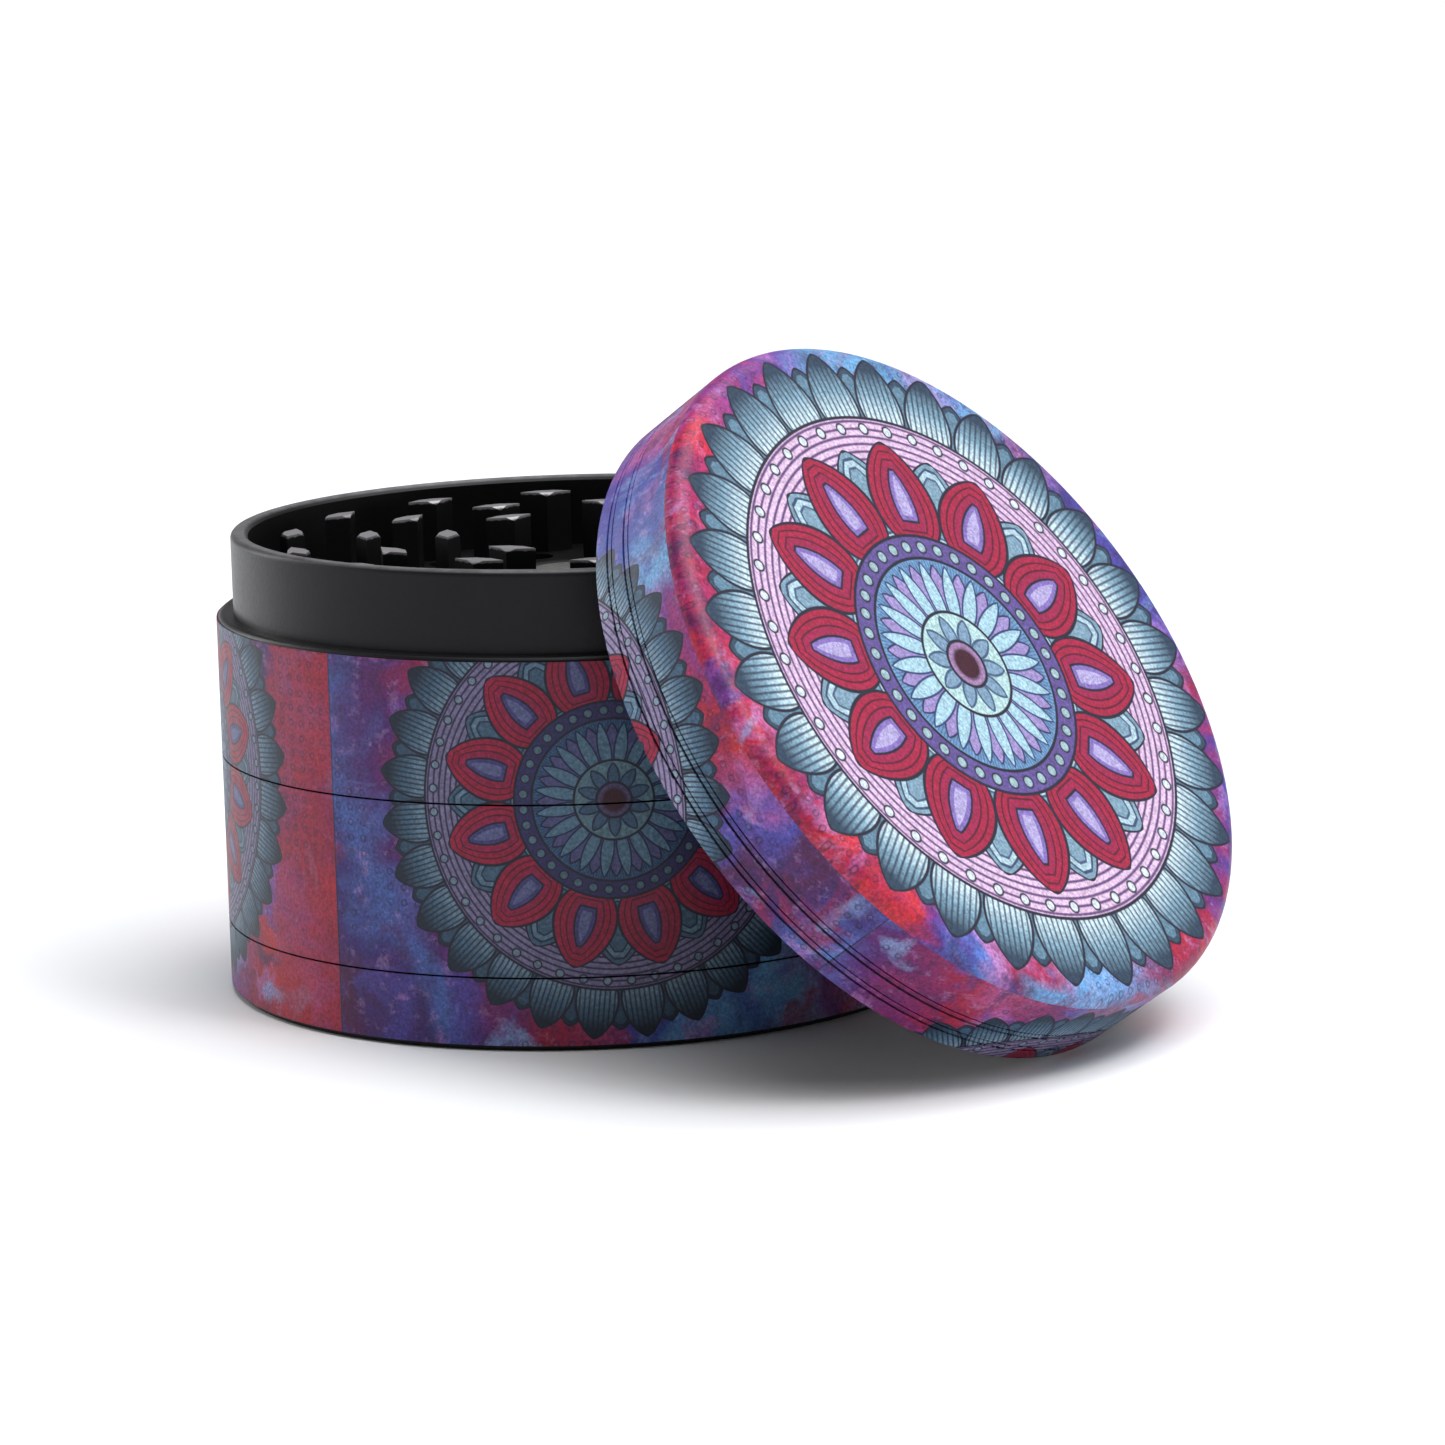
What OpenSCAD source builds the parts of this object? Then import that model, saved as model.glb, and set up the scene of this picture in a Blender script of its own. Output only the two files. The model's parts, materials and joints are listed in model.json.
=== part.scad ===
// Four-tier herb and spice grinder with its lid off and leaning on the body.
//
// From the table up: a shallow base dish, a screen stage with a steel mesh, a toothed
// grinding chamber with an open neck, and a toothed lid. Base, stage and chamber screw
// together with right-hand threads; the lid only plugs over the neck. Every tier wears a
// thin printed film. Millimetres, +Z up, origin at the centre of the base's underside.

/* [Tiers] */
// Outside diameter over the printed film
grinder_d = 63; // [50:0.5:75]
// Thickness of the printed film
film_t = 0.15; // [0.1:0.05:0.3]
// Height of the seam between base dish and screen stage
base_seam_z = 6.3; // [6:0.1:12]
// Height of the seam between screen stage and grinding chamber
stage_seam_z = 21; // [18:0.5:28]
// Height of the chamber's shoulder, where the print stops and the neck starts
shoulder_z = 33.4; // [30:0.1:40]
// Height of the neck's rim
neck_rim_z = 40.4; // [38:0.1:48]
// Gap between the faces of two tiers that are screwed together
seam_gap = 0.08; // [0.05:0.01:0.3]

/* [Walls] */
// Outside diameter of the chamber's neck
neck_d = 60; // [48:0.5:72]
// Wall thickness of the neck
neck_wall = 1.5; // [1.2:0.1:2.5]
// Thickness of the base dish's floor
dish_floor = 1.4; // [1:0.1:3]
// Thickness of the chamber's drilled floor
sieve_floor = 2.4; // [1.5:0.1:4]
// Depth of the chamber's floor below the neck's rim
chamber_depth = 6.4; // [5:0.1:10]
// Bevel on the edges where two tiers meet
edge_bevel = 0.12; // [0.1:0.01:0.5]
// Rounding of the chamber's shoulder
shoulder_r = 0.5; // [0.3:0.1:1]
// Bevel round the foot of the base dish
foot_bevel = 0.4; // [0.2:0.1:1]

/* [Threads] */
// Pitch of the two screw joints
thread_pitch = 1.5; // [1:0.25:2]
// Turns of thread on each side of a joint
thread_turns = 2; // [1:0.5:2]
// Length of the spigot under each upper tier
spigot_len = 4.1; // [3:0.1:6]
// Outside diameter of a spigot, without its thread
spigot_d = 58; // [50:0.5:60]
// Inside diameter of the bore that takes a spigot, without its thread
socket_d = 59.5; // [52:0.5:61]
// Wall thickness of a spigot
spigot_wall = 1.6; // [1:0.1:3]

/* [Teeth] */
// Teeth in the chamber's inner, middle and outer rings
chamber_tooth_counts = [6, 11, 14]; // each 4 to 16
// Radii of the chamber's three rings of teeth
chamber_ring_radii = [11, 18, 25]; // each 10.5 to 25.5
// Teeth in the lid's inner and outer rings
lid_tooth_counts = [8, 12]; // each 4 to 14
// Radii of the lid's two rings, which pass between the chamber's
lid_ring_radii = [14.5, 21.5]; // each 14.3 to 21.7
// Length of a tooth along its ring
tooth_len = 4.6; // [3:0.1:6]
// Width of a tooth across its ring
tooth_w = 2.2; // [1.5:0.1:3]
// Height of the chamber's teeth below the neck's rim
tooth_drop = 0.9; // [0.5:0.1:2]

/* [Lid] */
// Overall height of the lid
lid_h = 10.2; // [8:0.1:16]
// Rounding of the lid's top edge
lid_edge_r = 1.5; // [0.8:0.1:3]
// Thickness of the lid's top, without its film
lid_top_t = 1.65; // [1.2:0.05:3]
// Inside diameter of the lid's skirt
lid_bore_d = 60.7; // [50:0.1:73]
// Depth of the lid's tooth tips inside its rim
lid_tooth_inset = 3.6; // [1:0.1:6]
// Distances from the rim of the wider groove in each pair round the skirt
groove_pairs = [1.5, 3.55]; // each 1 to 6
// Distance from a pair's wider groove to its finer one
groove_pitch = 0.57; // [0.4:0.01:0.8]
// Widths of the wider and the finer groove
groove_widths = [0.24, 0.14]; // each 0.1 to 0.4

/* [Lid pose] */
// Tilt of the lid's centreline from upright as it leans
lid_tilt = 54.9; // [50:0.1:60]
// Compass direction that the lid's face looks, from +X
lid_facing = -35.75; // [-45:0.25:-25]
// Compass direction of the lid's rim centre from the body's centreline
lid_bearing = -43.25; // [-50:0.25:-35]
// Distance of the lid's rim centre from the body's centreline
lid_reach = 36.15; // [34:0.05:40]

/* [Colours] */
// Anodised metal
metal = [0.07, 0.07, 0.075]; // each 0 to 1
// Bright steel
steel = [0.72, 0.72, 0.7]; // each 0 to 1
// Slip ring
nylon = [0.88, 0.87, 0.83]; // each 0 to 1
// Printed film
print = [0.62, 0.3, 0.5]; // each 0 to 1

/* [Hidden] */
$fn = 96;
outer_r = grinder_d / 2;
shell_r = outer_r - film_t;
seam_margin = seam_gap / 2 + 0.04;
socket_r = socket_d / 2;
spigot_r = spigot_d / 2;
spigot_bore_r = spigot_r - spigot_wall;
neck_r = neck_d / 2;
neck_bore_r = neck_r - neck_wall;

// Screen: ledge, mesh disc and the ring that holds it down.
// Each bore steps in past its socket's end, with room for the spigot and its thread.
spigot_room = 0.5;
bore_step = 0.6;
ledge_z = 7.6;
ledge_t = 1;
ledge_bore_r = 26;
stage_bore_r = 28.6;
mesh_t = 0.35;
mesh_z = ledge_z + ledge_t;
mesh_r = stage_bore_r - 0.1;
retainer_z = mesh_z + mesh_t + 0.05;
retainer_r = stage_bore_r - 0.05;
retainer_t = 1;
retainer_w = 1.7;

// Chamber floor, its holes and the post that carries the magnet.
floor_z = neck_rim_z - chamber_depth;
sieve_z = floor_z - sieve_floor;
sieve_hole_d = 3.5;
sieve_rings = [[14.5, 10], [21.5, 16]];
post_r = 5.5;
post_top_z = floor_z + 2;
post_bevel = 0.3;
lip_r = 0.5;
bore_bevel = 0.4;
magnet_r = 4;
magnet_fit = 0.05;
chamber_magnet_h = 3;
lid_magnet_h = 1.5;
lid_post_h = 2;

// How far each ring of teeth is turned from +X.
chamber_ring_turns = [3, 16, 20];
lid_ring_turns = [0, 15];

// Thread section: a ridge 0.7 mm wide at its root and 0.3 mm at its crest.
root_w = 0.7;
crest_w = 0.3;
ridge_h = 0.55;
root_sink = 0.05;
steps_per_turn = 72;
thread_lead_in = 0.55;

// Lid, in its own coordinates: rim plane at z = 0, face at z = lid_h.
lid_bore_r = lid_bore_d / 2;
lid_ceiling = lid_h - film_t - lid_top_t;
slip_ring_t = 1;
slip_ring_gap = 0.05;
slip_ring_bore_r = 28.4;
rim_margin = 0.12;
table_gap = 0.02;

// ---------- shared shapes ----------

// A plain ring or disc standing on z.
module ring(z, h, r_out, r_in = 0) {
    translate([0, 0, z])
        difference() {
            cylinder(h = h, r = r_out);
            if (r_in > 0)
                translate([0, 0, -1]) cylinder(h = h + 2, r = r_in);
        }
}

// Points round an outside corner of a half-section, rounded to radius r.
function corner(x, z, r) =
    [for (a = [0 : 15 : 90]) [x - r + r * cos(a), z - r + r * sin(a)]];

// The printed film round one tier, from z_low to z_high.
module film_band(z_low, z_high) {
    ring(z_low, z_high - z_low, outer_r, shell_r);
}

// A helical ridge. It runs from root_r to root_r plus ridge_h, or minus it for a socket;
// its centre passes z_ref at angle 0, and its height fades in and out at the ends.
module helical_ridge(root_r, z_ref, inward, start_deg) {
    steps = thread_turns * steps_per_turn;
    fade_steps = 8;
    reach = (inward ? -1 : 1) * ridge_h;
    sink = (inward ? 1 : -1) * root_sink;
    fade = function(i) max(0.12, min(1, min(i, steps - i) / fade_steps));
    section = function(i) [
        [root_r + sink, -root_w / 2],
        [root_r + reach * fade(i), -crest_w / 2],
        [root_r + reach * fade(i), crest_w / 2],
        [root_r + sink, root_w / 2]
    ];
    angle = function(i) start_deg + 360 * i / steps_per_turn;
    points = [for (i = [0 : steps], p = section(i))
        [p.x * cos(angle(i)), p.x * sin(angle(i)), z_ref + thread_pitch * angle(i) / 360 + p.y]];
    skin = [for (i = [0 : steps - 1], k = [0 : 3], half = [0, 1])
        let (a = 4 * i + k, b = 4 * i + (k + 1) % 4)
        half == 0 ? [a, b, b + 4] : [a, b + 4, a + 4]];
    caps = [[3, 2, 1], [3, 1, 0],
        [4 * steps, 4 * steps + 1, 4 * steps + 2], [4 * steps, 4 * steps + 2, 4 * steps + 3]];
    faces = concat(skin, caps);
    // A socket's ridge has its section the other way round, so its faces are turned over.
    polyhedron(points = points, faces = inward
        ? faces
        : [for (f = faces) [f[2], f[1], f[0]]]);
}

// The thread on a spigot, and the one that meets it in the socket, half a pitch away.
module spigot_thread(seam_z) {
    z_ref = seam_z - spigot_len + thread_lead_in;
    helical_ridge(spigot_r, z_ref, false, 0);
}

module socket_thread(seam_z) {
    z_ref = seam_z - spigot_len + thread_lead_in + thread_pitch / 2;
    helical_ridge(socket_r, z_ref, true, -180);
}

// A ring of lozenge-shaped teeth from z_root to z_tip. Their tips are bevelled by turning
// the whole ring to one section.
module tooth_ring(ring_r, count, z_root, z_tip, first_deg) {
    bevel = 0.35;
    w = tooth_w / 2;
    side = sign(z_tip - z_root);
    intersection() {
        rotate_extrude()
            polygon([
                [ring_r - w, z_root], [ring_r + w, z_root],
                [ring_r + w, z_tip - side * bevel], [ring_r + w - bevel, z_tip],
                [ring_r - w + bevel, z_tip], [ring_r - w, z_tip - side * bevel]
            ]);
        for (i = [0 : count - 1])
            rotate([0, 0, first_deg + 360 * i / count])
                translate([ring_r, 0, min(z_root, z_tip) - 0.5])
                    linear_extrude(height = abs(z_tip - z_root) + 1)
                        polygon([[0, -tooth_len / 2], [w, 0], [0, tooth_len / 2], [-w, 0]]);
    }
}

// Half-section of a cap with a rounded top edge, from z = 0 up.
module cap_section(r, h, edge) {
    square([r - edge, h]);
    square([r, h - edge]);
    translate([r - edge, h - edge]) circle(r = edge);
}

// Puts the lid where it leans: rim on the table, teeth over the neck's edge.
module leaning() {
    translate([
        lid_reach * cos(lid_bearing),
        lid_reach * sin(lid_bearing),
        outer_r * sin(lid_tilt) + table_gap
    ])
        rotate([0, lid_tilt, lid_facing])
            children();
}

// ---------- base dish ----------

module base_dish() {
    top = base_seam_z - seam_gap / 2;
    color(metal)
        rotate_extrude()
            polygon([
                [0, 0], [shell_r - foot_bevel, 0], [shell_r, foot_bevel],
                [shell_r, top - edge_bevel], [shell_r - edge_bevel, top],
                [socket_r + edge_bevel, top], [socket_r, top - edge_bevel],
                [socket_r, dish_floor], [0, dish_floor]
            ]);
}

module base_print() {
    color(print) film_band(foot_bevel + 0.1, base_seam_z - seam_margin);
}

module base_thread() {
    color(metal) socket_thread(base_seam_z);
}

// ---------- screen stage ----------

module screen_stage() {
    low = base_seam_z + seam_gap / 2;
    top = stage_seam_z - seam_gap / 2;
    socket_floor = stage_seam_z - spigot_len - spigot_room;
    color(metal)
        rotate_extrude()
            polygon([
                [spigot_bore_r, base_seam_z - spigot_len],
                [spigot_r - edge_bevel, base_seam_z - spigot_len],
                [spigot_r, base_seam_z - spigot_len + edge_bevel],
                [spigot_r, low], [shell_r - edge_bevel, low], [shell_r, low + edge_bevel],
                [shell_r, top - edge_bevel], [shell_r - edge_bevel, top],
                [socket_r + edge_bevel, top], [socket_r, top - edge_bevel],
                [socket_r, socket_floor], [stage_bore_r, socket_floor - bore_step],
                [stage_bore_r, mesh_z], [ledge_bore_r, mesh_z], [ledge_bore_r, ledge_z],
                [spigot_bore_r, ledge_z - ledge_t]
            ]);
}

module stage_print() {
    color(print) film_band(base_seam_z + seam_margin, stage_seam_z - seam_margin);
}

module stage_lower_thread() {
    color(metal) spigot_thread(base_seam_z);
}

module stage_upper_thread() {
    color(metal) socket_thread(stage_seam_z);
}

module screen_mesh() {
    color(steel) ring(mesh_z, mesh_t, mesh_r);
}

module screen_retaining_ring() {
    color(steel) ring(retainer_z, retainer_t, retainer_r, retainer_r - retainer_w);
}

// ---------- grinding chamber ----------

module grinding_chamber() {
    low = stage_seam_z + seam_gap / 2;
    color(metal)
        rotate_extrude()
            polygon([
                [spigot_bore_r, stage_seam_z - spigot_len],
                [spigot_r - edge_bevel, stage_seam_z - spigot_len],
                [spigot_r, stage_seam_z - spigot_len + edge_bevel],
                [spigot_r, low], [shell_r - edge_bevel, low], [shell_r, low + edge_bevel],
                each corner(shell_r, shoulder_z, shoulder_r),
                [neck_r, shoulder_z],
                each corner(neck_r, neck_rim_z, lip_r),
                [neck_bore_r + bore_bevel, neck_rim_z],
                [neck_bore_r, neck_rim_z - bore_bevel],
                [neck_bore_r, low + ledge_t], [spigot_bore_r, low]
            ]);
}

// The drilled floor, with the post that holds the magnet.
module chamber_floor() {
    color(metal)
        difference() {
            union() {
                ring(sieve_z, sieve_floor, neck_bore_r);
                rotate_extrude()
                    polygon([
                        [0, sieve_z + 1], [post_r, sieve_z + 1],
                        [post_r, post_top_z - post_bevel],
                        [post_r - post_bevel, post_top_z], [0, post_top_z]
                    ]);
            }
            for (row = sieve_rings, i = [0 : row[1] - 1])
                rotate([0, 0, 360 * (i + 0.5) / row[1]])
                    translate([row[0], 0, sieve_z - 1])
                        cylinder(h = sieve_floor + 2, d = sieve_hole_d);
            translate([0, 0, post_top_z - chamber_magnet_h - magnet_fit])
                cylinder(h = chamber_magnet_h + 1, r = magnet_r + magnet_fit);
        }
}

module chamber_print() {
    color(print) film_band(stage_seam_z + seam_margin, shoulder_z - shoulder_r + 0.1);
}

module chamber_thread() {
    color(metal) spigot_thread(stage_seam_z);
}

module chamber_teeth(row) {
    color(metal)
        tooth_ring(chamber_ring_radii[row], chamber_tooth_counts[row], floor_z,
            neck_rim_z - tooth_drop, chamber_ring_turns[row]);
}

module chamber_teeth_inner() {
    chamber_teeth(0);
}

module chamber_teeth_middle() {
    chamber_teeth(1);
}

module chamber_teeth_outer() {
    chamber_teeth(2);
}

module chamber_magnet() {
    color(steel) ring(post_top_z - chamber_magnet_h, chamber_magnet_h, magnet_r);
}

// ---------- lid ----------

module lid_shell() {
    rim_bevel = 0.2;
    post_face = lid_ceiling - lid_post_h;
    color(metal)
        leaning()
            difference() {
                rotate_extrude()
                    difference() {
                        cap_section(shell_r, lid_h - film_t, lid_edge_r - film_t);
                        polygon([
                            [-1, -1], [lid_bore_r + rim_bevel, -1], [lid_bore_r + rim_bevel, 0],
                            [lid_bore_r, rim_bevel], [lid_bore_r, lid_ceiling],
                            [post_r, lid_ceiling], [post_r, post_face], [-1, post_face]
                        ]);
                        polygon([
                            [shell_r - rim_bevel, -1], [shell_r - rim_bevel, 0],
                            [shell_r, rim_bevel], [shell_r + 1, rim_bevel], [shell_r + 1, -1]
                        ]);
                    }
                translate([0, 0, post_face - 1])
                    cylinder(h = lid_magnet_h + magnet_fit + 1, r = magnet_r + magnet_fit);
            }
}

// Film over the face and round the top edge.
module lid_face_print() {
    color(print)
        leaning()
            rotate_extrude()
                difference() {
                    cap_section(outer_r, lid_h, lid_edge_r);
                    cap_section(shell_r, lid_h - film_t, lid_edge_r - film_t);
                    translate([-1, -1]) square([outer_r + 2, lid_h - lid_edge_r + 1]);
                }
}

// Film round the skirt, cut through by the fine grooves near the rim.
module lid_skirt_print() {
    color(print)
        leaning()
            difference() {
                ring(rim_margin, lid_h - lid_edge_r - rim_margin, outer_r, shell_r);
                for (start = groove_pairs, i = [0, 1])
                    ring(start + i * groove_pitch - groove_widths[i] / 2, groove_widths[i],
                         outer_r + 1, shell_r - 0.01);
            }
}

module lid_teeth(row) {
    color(metal)
        leaning()
            tooth_ring(lid_ring_radii[row], lid_tooth_counts[row], lid_ceiling,
                lid_tooth_inset, lid_ring_turns[row]);
}

module lid_teeth_inner() {
    lid_teeth(0);
}

module lid_teeth_outer() {
    lid_teeth(1);
}

module lid_magnet() {
    color(steel)
        leaning()
            ring(lid_ceiling - lid_post_h, lid_magnet_h, magnet_r);
}

module lid_slip_ring() {
    color(nylon)
        leaning()
            ring(lid_ceiling - slip_ring_gap - slip_ring_t, slip_ring_t,
                lid_bore_r - slip_ring_gap, slip_ring_bore_r);
}

base_dish();
base_print();
base_thread();
screen_stage();
stage_print();
stage_lower_thread();
stage_upper_thread();
screen_mesh();
screen_retaining_ring();
grinding_chamber();
chamber_floor();
chamber_print();
chamber_thread();
chamber_teeth_inner();
chamber_teeth_middle();
chamber_teeth_outer();
chamber_magnet();
lid_shell();
lid_face_print();
lid_skirt_print();
lid_teeth_inner();
lid_teeth_outer();
lid_magnet();
lid_slip_ring();
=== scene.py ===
"""Looks for the four-tier grinder: printed film, anodised metal, steel, studio."""

import json
import math

import bmesh
import bpy
from mathutils import Matrix, Vector


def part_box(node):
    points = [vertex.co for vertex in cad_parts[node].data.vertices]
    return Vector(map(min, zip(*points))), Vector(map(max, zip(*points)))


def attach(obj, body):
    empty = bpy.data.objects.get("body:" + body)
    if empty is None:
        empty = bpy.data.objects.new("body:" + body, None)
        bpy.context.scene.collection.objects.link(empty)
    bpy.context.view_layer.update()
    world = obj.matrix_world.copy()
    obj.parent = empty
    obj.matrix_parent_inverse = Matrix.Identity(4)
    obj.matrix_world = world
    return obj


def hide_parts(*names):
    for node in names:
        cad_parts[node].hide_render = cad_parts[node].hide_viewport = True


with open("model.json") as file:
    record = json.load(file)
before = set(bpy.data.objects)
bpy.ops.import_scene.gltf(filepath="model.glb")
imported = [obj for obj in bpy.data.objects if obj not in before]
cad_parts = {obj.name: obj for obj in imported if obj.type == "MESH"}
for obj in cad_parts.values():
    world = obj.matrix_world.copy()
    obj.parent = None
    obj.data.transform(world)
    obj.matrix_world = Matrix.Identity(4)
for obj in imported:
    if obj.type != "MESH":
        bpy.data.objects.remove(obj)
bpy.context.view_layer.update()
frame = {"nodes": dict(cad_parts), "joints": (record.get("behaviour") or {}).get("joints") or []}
nodes = frame["nodes"]
joints = {j["name"]: j for j in frame["joints"]}
MM = 0.001

# Where things are, from the frame.
LID_TURN = joints["lid_turn"]
RIM_CENTRE = Vector(LID_TURN["pos_m"])
LID_AXIS = Vector(LID_TURN["axis"]).normalized()
LID_SIDE = LID_AXIS.cross(Vector((0, 0, 1))).normalized()
LID_DOWN = LID_AXIS.cross(LID_SIDE)
OUTER_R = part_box("stage_print")[1].x
BORE_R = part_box("chamber_floor")[1].x + 0.3 * MM
SHOULDER_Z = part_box("grinding_chamber")[1].z - 7 * MM


# ---------------------------------------------------------------- camera, light, floor

# The camera's place and directions, in metres in the part's own frame.
SENSOR_MM = 36
LENS_MM = 136.5
CAMERA_PLACE = (0.01343, -0.47675, 0.10844)
CAMERA_FORWARD = (-0.00152, 0.98391, -0.17864)
CAMERA_UP = (0.0264, 0.1786, 0.98356)

# The light tent: the strength of each part of it, by the direction it comes from.
OVERHEAD = Vector((0.3, 0.0, 0.95)).normalized()
OVERHEAD_LIGHT = 5.2
LEFT_LIGHT = 1.1
RIGHT_LIGHT = 0.6
HORIZON_LIGHT = 0.5   # a narrow band at the horizon
LOW_LIGHT = 0.4       # a broad band above it
AMBIENT_LIGHT = 0.03
TENT_COLOUR = (0.97, 0.985, 1.0, 1)
STUDIO_CENTRE = (0.01, -0.01, 0.025)
KEY_WATTS = 1.2
RIM_WATTS = 0.9
FLOOR_REACH = 12.0
FLOOR_COLOUR = (0.76, 0.76, 0.77, 1)


def make_camera():
    """The photograph's viewing angle: a long lens, slightly above, rolled a touch."""
    data = bpy.data.cameras.new("camera")
    data.sensor_width = SENSOR_MM
    data.lens = LENS_MM
    data.clip_start, data.clip_end = 0.01, 50
    camera = bpy.data.objects.new("camera", data)
    bpy.context.scene.collection.objects.link(camera)
    forward = Vector(CAMERA_FORWARD).normalized()
    right = forward.cross(Vector(CAMERA_UP)).normalized()
    up = right.cross(forward)
    turn = Matrix((right, up, -forward)).transposed().to_4x4()
    camera.matrix_world = Matrix.Translation(CAMERA_PLACE) @ turn
    bpy.context.scene.camera = camera


def area_light(name, place, size, watts):
    """A white rectangular light that faces the part."""
    data = bpy.data.lights.new(name, "AREA")
    data.shape = "RECTANGLE"
    data.size, data.size_y = size
    data.energy = watts
    light = bpy.data.objects.new(name, data)
    light.location = place
    aim = Vector(STUDIO_CENTRE) - Vector(place)
    light.rotation_euler = aim.to_track_quat("-Z", "Y").to_euler()
    bpy.context.scene.collection.objects.link(light)


def make_studio():
    """A light tent: bright overhead, softer at the sides and low down, with two lamps."""
    world = bpy.data.worlds.new("studio")
    bpy.context.scene.world = world
    world.use_nodes = True
    g = Graph(tree=world.node_tree)
    direction = g.node("ShaderNodeTexCoord").outputs["Generated"]
    x, y, z = g.split(direction)
    overhead = ((g.dot(direction, OVERHEAD) - 0.7) / 0.3).clamp() * OVERHEAD_LIGHT
    left_panel = ((-x - 0.65) / 0.35).clamp() * LEFT_LIGHT
    right_panel = ((x - 0.7) / 0.3).clamp() * RIGHT_LIGHT
    horizon = (1.0 - z / 0.16).clamp() * HORIZON_LIGHT + (1.0 - z / 0.6).clamp() * LOW_LIGHT
    background = world.node_tree.nodes["Background"]
    background.inputs["Color"].default_value = TENT_COLOUR
    g.feed(background.inputs["Strength"],
           overhead + left_panel + right_panel + horizon + AMBIENT_LIGHT)
    area_light("key_softbox", (0.30, -0.22, 0.52), (0.16, 0.16), KEY_WATTS)
    area_light("rim_back_left", (-0.45, 0.30, 0.22), (0.12, 0.35), RIM_WATTS)
    scene = bpy.context.scene
    scene.view_settings.view_transform = "Standard"
    scene.view_settings.look = "None"


def make_floor():
    """A pale, matt floor that reaches past every view."""
    mesh = bpy.data.meshes.new("floor")
    reach = FLOOR_REACH
    mesh.from_pydata(
        [(-reach, -reach, 0), (reach, -reach, 0), (reach, reach, 0), (-reach, reach, 0)],
        [], [(0, 1, 2, 3)])
    floor = bpy.data.objects.new("floor", mesh)
    bpy.context.scene.collection.objects.link(floor)
    material = bpy.data.materials.new("white_sweep")
    material.use_nodes = True
    shader = material.node_tree.nodes["Principled BSDF"]
    shader.inputs["Base Color"].default_value = FLOOR_COLOUR
    shader.inputs["Roughness"].default_value = 0.6
    shader.inputs["Specular IOR Level"].default_value = 0.1
    mesh.materials.append(material)


# ---------------------------------------------------------------- small node language

class Graph:
    """Builds a new material's nodes, or those of a tree, from ordinary arithmetic."""

    def __init__(self, name="", tree=None):
        self.tree = tree
        if tree is None:
            self.material = bpy.data.materials.new(name)
            self.material.use_nodes = True
            self.tree = self.material.node_tree
            self.shader = self.tree.nodes["Principled BSDF"]

    def node(self, kind, **settings):
        """A new node, with its settings made."""
        made = self.tree.nodes.new(kind)
        for key, value in settings.items():
            setattr(made, key, value)
        return made

    def feed(self, socket, value):
        """Links a Value or a socket to a socket, or sets it to a constant."""
        if isinstance(value, Value):
            self.tree.links.new(value.socket, socket)
        elif isinstance(value, bpy.types.NodeSocket):
            self.tree.links.new(value, socket)
        else:
            socket.default_value = value

    def math(self, operation, *values, clamp=False):
        made = self.node("ShaderNodeMath", operation=operation, use_clamp=clamp)
        for socket, value in zip(made.inputs, values):
            self.feed(socket, value)
        return Value(self, made.outputs[0])

    def position(self):
        """Where the point is at rest, in the row frame."""
        return self.node("ShaderNodeTexCoord").outputs["Object"]

    def dot(self, vector_socket, axis):
        made = self.node("ShaderNodeVectorMath", operation="DOT_PRODUCT")
        self.feed(made.inputs[0], vector_socket)
        made.inputs[1].default_value = axis
        return Value(self, made.outputs["Value"])

    def split(self, vector):
        made = self.node("ShaderNodeSeparateXYZ")
        self.feed(made.inputs[0], vector)
        return [Value(self, made.outputs[i]) for i in range(3)]

    def combine(self, x, y, z=0.0):
        made = self.node("ShaderNodeCombineXYZ")
        for socket, value in zip(made.inputs, (x, y, z)):
            self.feed(socket, value)
        return made.outputs[0]

    def noise(self, vector, scale, detail=2.0, rough=0.5, distort=0.0):
        made = self.node("ShaderNodeTexNoise")
        self.feed(made.inputs["Vector"], vector)
        made.inputs["Scale"].default_value = scale
        made.inputs["Detail"].default_value = detail
        made.inputs["Roughness"].default_value = rough
        made.inputs["Distortion"].default_value = distort
        return Value(self, made.outputs[0])

    def ramp(self, value, stops):
        """A colour for each value; stops are (place, colour), from 0 to 1."""
        made = self.node("ShaderNodeValToRGB")
        self.feed(made.inputs[0], value)
        elements = made.color_ramp.elements
        while len(elements) < len(stops):
            elements.new(0.5)
        for element, (place, colour) in zip(elements, stops):
            element.position = place
            element.color = (*colour, 1)
        return made.outputs["Color"]

    def mix(self, amount, under, over, blend="MIX"):
        """The colour over laid on the colour under, by an amount."""
        made = self.node("ShaderNodeMix", data_type="RGBA", blend_type=blend)
        self.feed(made.inputs["Factor"], amount)
        for key, colour in (("A", under), ("B", over)):
            socket = [s for s in made.inputs if s.name == key and s.type == "RGBA"][0]
            if isinstance(colour, tuple):
                socket.default_value = (*colour, 1)
            else:
                self.feed(socket, colour)
        return [s for s in made.outputs if s.type == "RGBA"][0]

    def bump(self, height, distance, strength):
        """Roughens the shader's surface by a height from 0 to 1, times distance."""
        made = self.node("ShaderNodeBump")
        made.inputs["Strength"].default_value = strength
        made.inputs["Distance"].default_value = distance
        self.feed(made.inputs["Height"], height)
        self.feed(self.shader.inputs["Normal"], made.outputs["Normal"])


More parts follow.
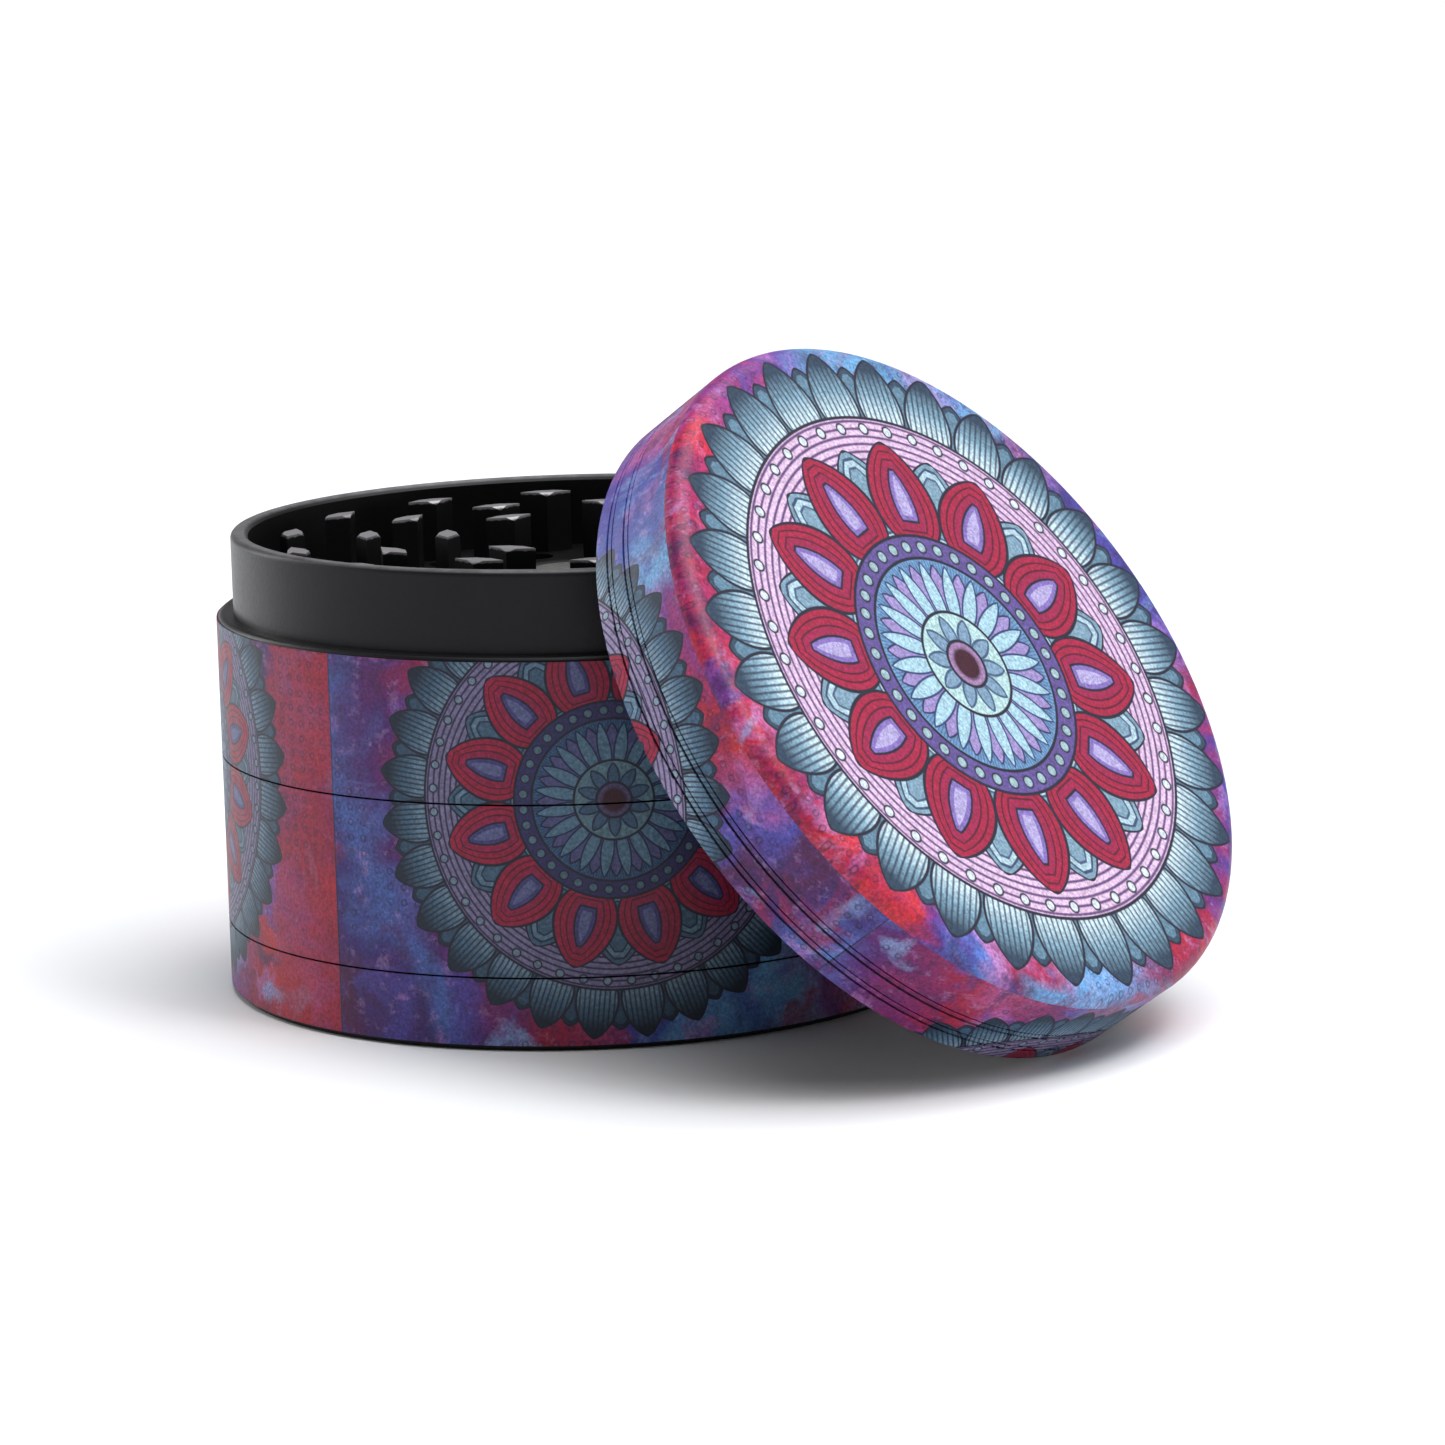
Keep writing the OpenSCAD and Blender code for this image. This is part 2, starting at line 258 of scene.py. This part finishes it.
class Value:
    """One number at every point of a surface."""

    def __init__(self, graph, socket):
        self.g, self.socket = graph, socket

    def _do(self, operation, *others, **more):
        return self.g.math(operation, self, *others, **more)

    def __add__(self, other):
        return self._do("ADD", other)

    __radd__ = __add__

    def __sub__(self, other):
        return self._do("SUBTRACT", other)

    def __rsub__(self, other):
        return self.g.math("SUBTRACT", other, self)

    def __mul__(self, other):
        return self._do("MULTIPLY", other)

    __rmul__ = __mul__

    def __truediv__(self, other):
        return self._do("DIVIDE", other)

    def __pow__(self, other):
        return self._do("POWER", other)

    def __neg__(self):
        return self._do("MULTIPLY", -1.0)

    def __abs__(self):
        return self._do("ABSOLUTE")

    def sin(self):
        return self._do("SINE")

    def cos(self):
        return self._do("COSINE")

    def fract(self):
        return self._do("FRACT")

    def sqrt(self):
        return self._do("SQRT")

    def clamp(self):
        return self._do("ADD", 0.0, clamp=True)

    def low(self, other):
        return self._do("MINIMUM", other)


def srgb(*screen):
    """A screen colour, 0 to 255, as the linear numbers that a shader takes."""
    def channel(c):
        c /= 255
        return c / 12.92 if c <= 0.04045 else ((c + 0.055) / 1.055) ** 2.4
    return tuple(channel(c) for c in screen)


# ---------------------------------------------------------------- the drawn pattern

# Lengths in this section are the drawing's own millimetres.
INK = srgb(28, 26, 48)
CRIMSON = srgb(158, 22, 62)
DEEP_CRIMSON = srgb(84, 8, 42)
EDGE = 0.09        # soft edge of a drawn shape
DOT_EDGE = 0.12    # and of a dot
OUTLINE = 0.3      # a ring's inked line
ROOT_POWER, TIP_POWER = 0.5, 0.7   # how full a leaf is at its root and at its tip
RINGLET_PITCH = 1.3
RINGLET_R = 0.25
RINGLET_LINE = 0.13

def inside(distance, edge=EDGE):
    """1 where the distance into a shape is positive, with a soft edge."""
    return (distance / edge + 0.5).clamp()


def band(distance, width, edge=EDGE):
    """1 within half of width of a shape's outline."""
    return ((width / 2 - abs(distance)) / edge + 0.5).clamp()


def sector(radius, turn, count, offset=0.0):
    """Folds the plane into one of count equal sectors: (across, along) its middle line."""
    step = 2 * math.pi / count
    local = ((turn / step + offset).fract() - 0.5) * step
    return radius * local.sin(), radius * local.cos()


def leaf(across, along, root, tip, half_width):
    """Distance into a leaf on a sector's middle line, and the share of the way up it."""
    share = ((along - root) / (tip - root)).clamp()
    peak = ROOT_POWER / (ROOT_POWER + TIP_POWER)
    top = peak ** ROOT_POWER * (1 - peak) ** TIP_POWER
    width = (share ** ROOT_POWER) * ((1.0 - share) ** TIP_POWER) * (half_width / top)
    into = (width - abs(across)).low(tip - along).low(along - root)
    return into, share


def stripes(value, period, share, edge):
    """Even lines: 1 on them, each taking share of the period, with a soft edge."""
    wave = abs((value / period).fract() - 0.5) * 2.0
    return ((share - wave) / edge + 0.5).clamp()


def disc(across, along, place, radius):
    """Distance into a disc on the sector's middle line."""
    dy = along - place
    return radius - (across * across + dy * dy).sqrt()


class Drawing:
    """Paints one shape over another, on the paper it starts with."""

    def __init__(self, graph, paper):
        self.g, self.colour = graph, paper

    def paint(self, mask, colour):
        self.colour = self.g.mix(mask, self.colour, colour)


def rosette(graph, paper, x, y, painted_shade=(1.0, 1.0, 1.0)):
    """A plain rosette of nested petals and dots in rings, 30 mm in radius.

    The last argument is painted shade: it scales every colour but the crimsons and the ink."""
    g = graph

    def light(red, green, blue):
        return tuple(c * p for c, p in zip(srgb(red, green, blue), painted_shade))

    d = Drawing(g, paper)
    radius = (x * x + y * y).sqrt()
    turn = g.math("ARCTAN2", y, x)

    def petals(count, offset, root, tip, half_width, *layers):
        """A row of petals, each a nest of shapes: layers are (inset, colour)."""
        across, along = sector(radius, turn, count, offset)
        into, share = leaf(across, along, root, tip, half_width)
        for inset, colour in layers:
            d.paint(inside(into - inset), colour)
        return across, into, share

    def dots(count, place, *layers):
        """A row of round dots: layers are (radius, colour)."""
        across, along = sector(radius, turn, count)
        for size, colour in layers:
            d.paint(inside(disc(across, along, place, size), DOT_EDGE), colour)

    def ring(outer, colour):
        """Everything within a radius, with an inked edge."""
        d.paint(inside(outer - radius), colour)
        d.paint(band(radius - outer, OUTLINE), INK)

    # Outer petals in two rows, with fine lines along the front ones.
    petals(28, 0.5, 22.0, 29.2, 2.4, (0.0, INK), (0.3, light(46, 68, 90)),
           (0.8, light(92, 126, 148)))
    across, into, share = petals(28, 0.0, 22.0, 30.4, 2.8, (0.0, INK))
    petal = g.ramp(share, [(0.30, light(196, 218, 228)), (0.55, light(124, 160, 180)),
                           (0.85, light(40, 62, 82))])
    lines = stripes(across, 0.62, 0.36, 0.4)
    d.paint(inside(into - 0.3), g.mix(lines * 0.85, petal, light(36, 52, 78)))

    # A lavender ring of even arcs, with a row of dots.
    arcs = stripes(radius, 0.75, 0.34, 0.35)
    ring(24.0, g.mix(arcs, light(214, 184, 214), light(96, 66, 116)))
    dots(48, 22.9, (0.62, INK), (0.42, light(206, 216, 226)))

    # Crimson petals over slate ones.
    petals(12, 0.5, 11.0, 21.0, 3.7, (0.0, INK), (0.3, light(120, 152, 172)),
           (0.8, light(52, 70, 104)), (1.1, light(168, 196, 208)), (1.7, light(64, 84, 118)),
           (1.95, light(120, 152, 172)))
    petals(12, 0.0, 11.0, 21.8, 4.1, (0.0, INK), (0.35, CRIMSON), (0.95, DEEP_CRIMSON),
           (1.15, CRIMSON), (1.75, DEEP_CRIMSON), (1.95, srgb(150, 24, 70)),
           (2.7, INK), (2.95, light(126, 104, 176)), (3.4, light(170, 160, 206)))

    # A violet ring of dots.
    ring(12.4, light(92, 76, 140))
    dots(36, 11.3, (0.64, INK), (0.46, light(150, 178, 186)))

    # Two rows of slender petals on a blue field of fine strokes.
    field = g.ramp(radius / 10.2, [(0.5, light(60, 92, 142)), (1.0, light(104, 148, 188))])
    ring(10.2, field)
    strokes = stripes(turn * (180 / (2 * math.pi)), 1.0, 0.34, 0.5)
    d.paint(inside(10.0 - radius) * strokes * 0.55, light(44, 50, 100))
    petals(20, 0.5, 4.0, 9.7, 1.15, (0.0, light(40, 40, 86)), (0.22, light(150, 134, 188)))
    petals(20, 0.0, 4.0, 9.9, 0.9, (0.0, light(36, 56, 104)), (0.2, light(160, 196, 212)))

    # Centre: a pale ring of small petals round a dark eye.
    ring(5.0, light(172, 204, 206))
    petals(10, 0.0, 1.6, 4.7, 0.85, (0.0, light(60, 84, 116)), (0.25, light(120, 150, 176)))
    ring(2.2, light(150, 118, 160))
    d.paint(inside(1.5 - radius, 0.4), srgb(58, 10, 34))
    return d.colour


# ---------------------------------------------------------------- the printed film

PATCH_SCALE = 55.0    # how many of the first wash's patches go in a metre
WANDER, FRAY = 0.52, 0.06   # how far the patches' edges wander and fray

# Washes laid over the first one. Each is a noise, given by its scale (times PATCH_SCALE),
# detail, roughness and distortion, then a wash where it is high and one where it is low.
# A wash is its threshold, the sharpness of its edge, its strength and its colour.
WASHES = (
    ((1.35, 5.0, 0.6, 0.8),
     (0.57, 22.0, 0.65, srgb(150, 22, 66)), (0.45, 18.0, 0.70, srgb(76, 70, 160))),
    ((3.1, 5.0, 0.65, 0.5),
     (0.57, 14.0, 0.50, srgb(178, 122, 190)), (0.42, 14.0, 0.50, srgb(88, 24, 82))),
    ((1.9, 4.0, 0.62, 1.2),
     (0.58, 10.0, 0.60, srgb(136, 170, 222)), (0.44, 9.0, 0.75, srgb(58, 26, 84))),
    ((9.0, 4.0, 0.7, 0.0),
     (0.54, 9.0, 0.35, srgb(60, 20, 84)), (0.44, 9.0, 0.30, srgb(190, 150, 206))),
)

# The first wash's colours: once round the lid's face, and along the side print.
FACE_STOPS = [
    (0.00, srgb(72, 66, 158)), (0.08, srgb(36, 48, 92)), (0.17, srgb(104, 160, 206)),
    (0.25, srgb(100, 66, 158)), (0.31, srgb(200, 34, 56)), (0.38, srgb(160, 44, 116)),
    (0.45, srgb(176, 34, 86)), (0.52, srgb(204, 44, 52)), (0.57, srgb(104, 44, 140)),
    (0.61, srgb(84, 124, 206)), (0.65, srgb(190, 126, 190)), (0.70, srgb(160, 30, 78)),
    (0.75, srgb(104, 162, 218)), (0.82, srgb(124, 34, 88)), (0.87, srgb(172, 26, 52)),
    (0.93, srgb(62, 56, 150)), (1.00, srgb(72, 66, 158)),
]
SIDE_STOPS = [
    (0.00, srgb(84, 26, 78)), (0.06, srgb(60, 40, 120)), (0.12, srgb(74, 100, 172)),
    (0.18, srgb(84, 34, 112)), (0.28, srgb(160, 24, 60)), (0.38, srgb(176, 90, 156)),
    (0.46, srgb(78, 60, 150)), (0.53, srgb(52, 76, 158)), (0.60, srgb(106, 164, 212)),
    (0.68, srgb(124, 54, 138)), (0.76, srgb(168, 28, 60)), (0.84, srgb(196, 42, 50)),
    (0.90, srgb(176, 90, 160)), (0.95, srgb(76, 74, 168)), (1.00, srgb(84, 26, 78)),
]

# The side print is one sheet wrapped round with a lap: a row of rosettes at even pitch.
# Lengths are millimetres along the sheet, from the lap, and up from the table.
SHEET_FIRST = 25.6
SHEET_PITCH = 48.65
SHEET_CENTRE_Z = 21.3
SIDE_SCALE = 0.672      # size of the side's rosettes against the lid face's
SIDE_REPEATS = 3.0      # times the first wash's colours come round
LID_LAP = math.radians(34.9)
BODY_LAP = math.radians(-130)
LAP_OVER = 6.0          # how far the sheet's free end lies over its start
LAP_EDGE = 0.14         # width of the dark line along it
RED_END = 9.0           # length of the red wash at the free end

# How light each print is, with painted shade on the body's print, which is darker than the
# lid's, and the tint of painted shade on the rosettes of the sides.
FACE_INK, LID_SIDE_INK, BODY_INK_WITH_PAINTED_SHADE = 0.76, 0.80, 0.62
LID_PAINTED_SHADE = (0.44, 0.52, 0.62)
BODY_PAINTED_SHADE = (0.29, 0.37, 0.46)


def patches(field, threshold, sharpness, strength):
    """1, times strength, where the field is over the threshold; under it if sharpness < 0."""
    return ((field - threshold) * sharpness).clamp() * strength


def watercolour(graph, vector, guide, stops):
    """Soft and hard-edged washes. guide runs 0 to 1 along the paper and picks the wash."""
    g = graph
    wander = g.noise(vector, PATCH_SCALE, 3.0, 0.55, 0.6)
    fray = g.noise(vector, PATCH_SCALE * 5, 4.0, 0.6)
    place = (guide + (wander - 0.5) * WANDER + (fray - 0.5) * FRAY).fract()
    colour = g.ramp(place, stops)
    for (scale, *kind), high, low in WASHES:
        field = g.noise(vector, PATCH_SCALE * scale, *kind)
        for sign, (threshold, sharpness, strength, wash) in ((1, high), (-1, low)):
            mask = patches(field, threshold, sign * sharpness, strength)
            colour = g.mix(mask, colour, wash)
    return colour


def ringlets(graph, paper, vector, u, v):
    """Patches of small printed rings in even rows; u and v are millimetres."""
    g = graph
    across = ((u / RINGLET_PITCH).fract() - 0.5) * RINGLET_PITCH
    along = ((v / RINGLET_PITCH).fract() - 0.5) * RINGLET_PITCH
    radius = (across * across + along * along).sqrt()
    ring = band(radius - RINGLET_R, RINGLET_LINE, 0.1)
    where = patches(g.noise(vector, 75.0, 1.0), 0.5, 16.0, 0.6)
    return g.mix(ring * where, paper, srgb(34, 24, 66))


def film_finish(graph, colour, vector, ink_and_painted_shade, step=0.0):
    """Matt lacquer over the print: speckle, fine grain and uneven gloss.

    The ink argument is how light the print is, lowered on the body as painted shade, and step is
    a height that adds to the grain's."""
    g = graph
    grain = g.noise(vector, 5200.0, 2.0, 0.6)
    dusty = g.noise(vector, 900.0, 3.0, 0.6)
    speck = g.noise(vector, 3400.0, 2.0, 0.7)
    light = g.ramp(speck, [(place, (ink_and_painted_shade * level,) * 3)
                           for place, level in ((0.30, 0.62), (0.50, 1.0), (0.72, 1.5))])
    g.feed(g.shader.inputs["Base Color"], g.mix(1.0, colour, light, "MULTIPLY"))
    g.feed(g.shader.inputs["Roughness"], dusty * 0.24 + 0.34)
    g.shader.inputs["Specular IOR Level"].default_value = 0.28
    g.shader.inputs["Coat Weight"].default_value = 0.04
    g.shader.inputs["Coat Roughness"].default_value = 0.3
    g.bump(grain * 0.6 + dusty * 0.4 + step, 0.06 * MM, 0.55)


def on_lid(graph, position):
    """The point from the rim's centre, in metres: to the side, down, and along the axis."""
    return [graph.dot(position, axis) - RIM_CENTRE.dot(axis)
            for axis in (LID_SIDE, LID_DOWN, LID_AXIS)]


def face_material():
    """The lid's face: one rosette on a wash that changes round the rim."""
    g = Graph("print_lid_face")
    position = g.position()
    x, y = (v / MM for v in on_lid(g, position)[:2])
    guide = g.math("ARCTAN2", y, x) / (2 * math.pi) + 0.5
    paper = watercolour(g, position, guide, FACE_STOPS)
    colour = rosette(g, ringlets(g, paper, position, x, y), x, y)
    film_finish(g, colour, position, FACE_INK)
    return g.material


def red_end(graph, paper, sheet, along, circumference):
    """A red wash with a ragged edge, down the sheet's free end."""
    g = graph
    ragged = (g.noise(sheet, 260.0, 4.0, 0.6) - 0.5) * 9.0
    wash = ((along + ragged - (circumference - RED_END)) / 1.5).clamp()
    depth = g.noise(sheet, 120.0, 4.0, 0.6)
    red = g.mix(depth, srgb(150, 18, 60), srgb(196, 48, 60))
    return g.mix(wash * (depth * 1.2 + 0.15).clamp(), paper, red)


def side_material(name, lid):
    """The side print, round the lid's skirt or round the three tiers of the body, with painted
    shade on its rosettes and, more deeply, on the body.
    """
    g = Graph(name)
    position = g.position()
    if lid:
        x, y, up = on_lid(g, position)
        height = up / MM + SHOULDER_Z / MM
        lap, painted_shade_tint, ink_and_painted_shade = LID_LAP, LID_PAINTED_SHADE, LID_SIDE_INK
    else:
        x, y, z = g.split(position)
        height = z / MM
        # The body's print is darkened as painted shade.
        lap, painted_shade_tint, ink_and_painted_shade = BODY_LAP, BODY_PAINTED_SHADE, BODY_INK_WITH_PAINTED_SHADE
    turn = g.math("ARCTAN2", y, x)
    circumference = 2 * math.pi * OUTER_R / MM
    along = ((turn - lap) / (2 * math.pi) + 2.0).fract() * circumference
    sheet = g.combine(along * MM, height * MM)
    guide = along / circumference * SIDE_REPEATS + height * 0.004
    paper = watercolour(g, sheet, guide, SIDE_STOPS)
    if not lid:
        paper = red_end(g, paper, sheet, along, circumference)
    paper = ringlets(g, paper, sheet, along, height)
    nearest = ((along - SHEET_FIRST) / SHEET_PITCH + 0.5 + 4.0).fract() - 0.5
    dx = nearest * SHEET_PITCH / SIDE_SCALE
    dy = (height - SHEET_CENTRE_Z) / SIDE_SCALE
    # The rosettes on the sides get a tint of painted shade.
    colour = rosette(g, paper, dx, dy, painted_shade_tint)
    # The sheet's free end lies over its start: a dark edge and a small step.
    colour = g.mix(inside(LAP_EDGE - along, 0.1) * 0.7, colour, INK)
    step = inside(LAP_OVER - along, 0.5) * 0.9
    film_finish(g, colour, position, ink_and_painted_shade, step)
    return g.material


# ---------------------------------------------------------------- metal and plastics

BLACK = srgb(25, 25, 27)
# The anodised black in painted shade: the bore, the chamber floor and the teeth.
BLACK_IN_PAINTED_SHADE = srgb(12, 12, 13)
# Painted highlight: a pale bare-metal grey on the teeth's tips and the neck's lip.
PAINTED_HIGHLIGHT_METAL = srgb(136, 133, 136)
TIP_HIGHLIGHT_DEPTH = 0.26 * MM      # how far down from its tip a tooth has the painted highlight
LIP_HIGHLIGHT_DEPTH = 0.22 * MM      # and the neck's lip
# The soft edge of the painted shade in the bore.
BORE_SHADE_EDGE = 0.2 * MM
SCREEN_PITCH = 1.0 * MM
GRAIN_DEPTH = 0.02 * MM


def metal_material(name, colour, metallic, rough, grain=2600.0):
    """Fine grain over broader cloudy patches of tone and gloss."""
    g = Graph(name)
    position = g.position()
    broad = g.noise(position, 90.0, 3.0, 0.55)
    fine = g.noise(position, grain, 3.0, 0.6)
    tone = g.mix((broad * 0.7 + fine * 0.3).clamp(), tuple(c * 0.82 for c in colour),
                 tuple(min(1, c * 1.2) for c in colour))
    g.feed(g.shader.inputs["Base Color"], tone)
    g.shader.inputs["Metallic"].default_value = metallic
    g.feed(g.shader.inputs["Roughness"], (fine - 0.5) * 0.16 + (broad - 0.5) * 0.1 + rough)
    g.shader.inputs["Specular IOR Level"].default_value = 0.2
    g.bump(fine, GRAIN_DEPTH, 0.6)
    return g


def lay_over(graph, amount, colour):
    """Lays a colour over the one that the shader has so far."""
    socket = graph.shader.inputs["Base Color"]
    graph.feed(socket, graph.mix(amount, socket.links[0].from_socket, colour))


def chamber_material():
    """Anodised all over, with painted shade (a deeper black) in the bore, and a painted
    highlight along the neck's lip.
    """
    g = metal_material("black_anodised_chamber", BLACK, 0.35, 0.38)
    x, y, z = g.split(g.position())
    # Painted shade: a deeper black inside the bore.
    lay_over(g, ((BORE_R - (x * x + y * y).sqrt()) / BORE_SHADE_EDGE).clamp(), BLACK_IN_PAINTED_SHADE)
    # Painted highlight: a broken pale line along the neck's lip.
    lip = ((z - (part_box("grinding_chamber")[1].z - LIP_HIGHLIGHT_DEPTH)) / LIP_HIGHLIGHT_DEPTH).clamp()
    highlight_noise = g.noise(g.position(), 700.0, 4.0, 0.6)
    lay_over(g, lip * highlight_noise * 0.8, PAINTED_HIGHLIGHT_METAL)
    return g.material


def tip_highlight_material(name, tips, toward):
    """Black anodising in painted shade, with a painted highlight of bare-looking metal at the
    tips.

    toward points along the teeth to the tips, and tips is how far along it they are."""
    g = metal_material(name + "_tip_highlight", BLACK_IN_PAINTED_SHADE, 0.3, 0.36)
    position = g.position()
    depth = tips - g.dot(position, toward)
    highlight_noise = g.noise(position, 1400.0, 3.0, 0.6)
    # Painted highlight, pale at the tips and broken by noise.
    highlight = ((TIP_HIGHLIGHT_DEPTH - depth) / TIP_HIGHLIGHT_DEPTH * 1.8 + (highlight_noise - 0.5) * 2.4).clamp()
    lay_over(g, highlight, PAINTED_HIGHLIGHT_METAL)
    g.feed(g.shader.inputs["Metallic"], highlight * 0.45 + 0.3)
    g.feed(g.shader.inputs["Roughness"], highlight * 0.12 + 0.38)
    return g.material


def finish_nodes(material, *names):
    """Gives CAD nodes their material."""
    for name in names:
        nodes[name].data.materials.clear()
        nodes[name].data.materials.append(material)


def weave_screen(steel):
    """The wire screen: two families of wires that pass over and under each other."""
    low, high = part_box("screen_mesh")
    # Two wires lie one over the other in the thickness.
    wire_r = (high.z - low.z) / 4
    middle = (high.z + low.z) / 2
    reach = high.x - wire_r
    rows = int(reach / SCREEN_PITCH)
    bm = bmesh.new()
    for family in (0, 1):
        for row in range(-rows, rows + 1):
            offset = row * SCREEN_PITCH
            half = math.sqrt(reach ** 2 - offset ** 2)
            steps = int(half / SCREEN_PITCH)
            ring = None
            for step in range(-steps, steps + 1):
                # Four points round the wire at each crossing, over or under by turns.
                place = step * SCREEN_PITCH
                lift = wire_r if (step + row + family) % 2 else -wire_r
                around = []
                for side, rise in ((1, 0), (0, 1), (-1, 0), (0, -1)):
                    spot = [place, offset + side * wire_r, middle + lift + rise * wire_r]
                    if family:
                        spot[0], spot[1] = spot[1], spot[0]
                    around.append(bm.verts.new(spot))
                if ring is None:
                    bm.faces.new(around)
                else:
                    for i in range(4):
                        j = (i + 1) % 4
                        bm.faces.new((ring[i], ring[j], around[j], around[i]))
                ring = around
            bm.faces.new(reversed(ring))
    bmesh.ops.recalc_face_normals(bm, faces=bm.faces)
    mesh = bpy.data.meshes.new("woven_screen")
    bm.to_mesh(mesh)
    bm.free()
    mesh.materials.append(steel)
    piece = bpy.data.objects.new("woven_screen", mesh)
    bpy.context.scene.collection.objects.link(piece)
    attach(piece, "screen_stage")
    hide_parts("screen_mesh")


make_camera()
make_studio()
make_floor()

PRINTS = ("base_print", "stage_print", "chamber_print")
STEELS = ("screen_mesh", "screen_retaining_ring")
MAGNETS = ("chamber_magnet", "lid_magnet")
UP = Vector((0, 0, 1))

# Black is the rule; what is finished otherwise comes after.
finish_nodes(metal_material("black_anodised", BLACK, 0.35, 0.40).material, *nodes)
# The chamber floor is the anodised black in painted shade.
finish_nodes(metal_material("black_anodised_painted_shade", BLACK_IN_PAINTED_SHADE, 0.3, 0.38).material,
             "chamber_floor")
finish_nodes(chamber_material(), "grinding_chamber")
steel = metal_material("stainless", srgb(196, 196, 192), 1.0, 0.3).material
finish_nodes(steel, *STEELS)
finish_nodes(metal_material("nickel_plate", srgb(206, 202, 196), 1.0, 0.18).material, *MAGNETS)
finish_nodes(metal_material("natural_nylon", srgb(228, 226, 214), 0.0, 0.45, 1800.0).material,
             "lid_slip_ring")
finish_nodes(side_material("print_side_painted_shade", False), *PRINTS)
finish_nodes(face_material(), "lid_face_print")
finish_nodes(side_material("print_lid_skirt", True), "lid_skirt_print")
# Teeth: black in painted shade, with a painted highlight at the tips.
for name in ("chamber_teeth_inner", "chamber_teeth_middle", "chamber_teeth_outer"):
    finish_nodes(tip_highlight_material(name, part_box(name)[1].z, UP), name)
for name in ("lid_teeth_inner", "lid_teeth_outer"):
    tips = max(v.co.dot(-LID_AXIS) for v in nodes[name].data.vertices)
    finish_nodes(tip_highlight_material(name, tips, -LID_AXIS), name)
weave_screen(steel)
